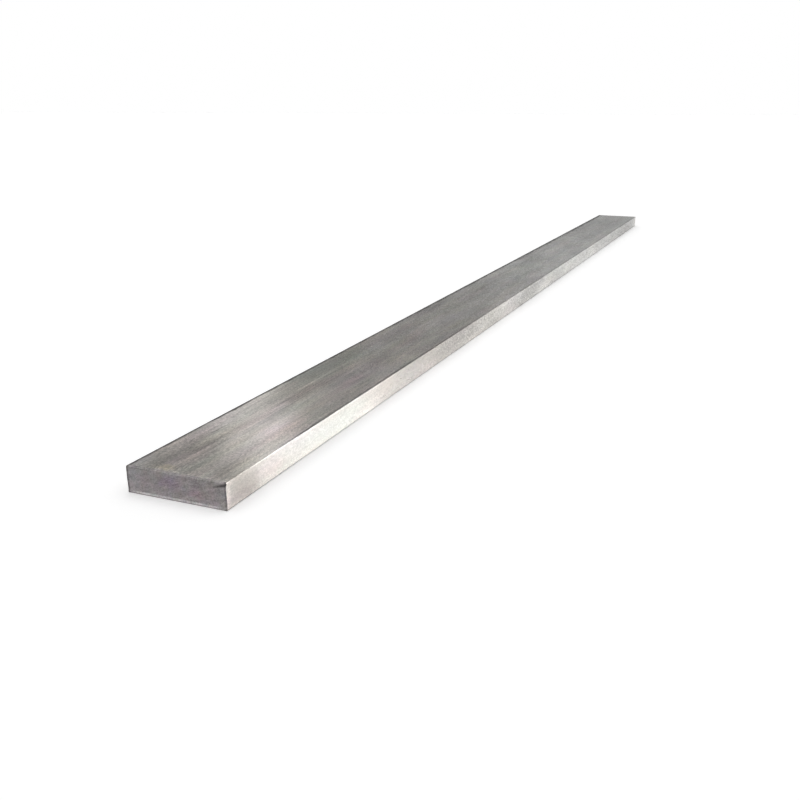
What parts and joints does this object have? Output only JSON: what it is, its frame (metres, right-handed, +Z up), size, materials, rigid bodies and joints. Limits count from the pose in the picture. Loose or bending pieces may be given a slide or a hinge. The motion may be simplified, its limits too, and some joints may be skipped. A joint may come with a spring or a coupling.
{
  "type": "metal flat bar",
  "caption": "Length of rolled stainless steel flat bar with brushed faces, eased arrises and shear-cut ends, cut, drilled or welded into frames, brackets and base plates.",
  "frame": {"origin": "middle of the lower wide face, which is the face that the bar lies on", "axes": "+X along the length, away from the end that was sheared from above; +Y across the width; +Z up through the thickness"},
  "size_m": [2, 0.1, 0.025],
  "materials": {
    "steel": "brushed along the length, satin, with sheared ends"
  },
  "bodies": {
    "root": {"flat_bar": "steel"}
  },
  "joints": []
}
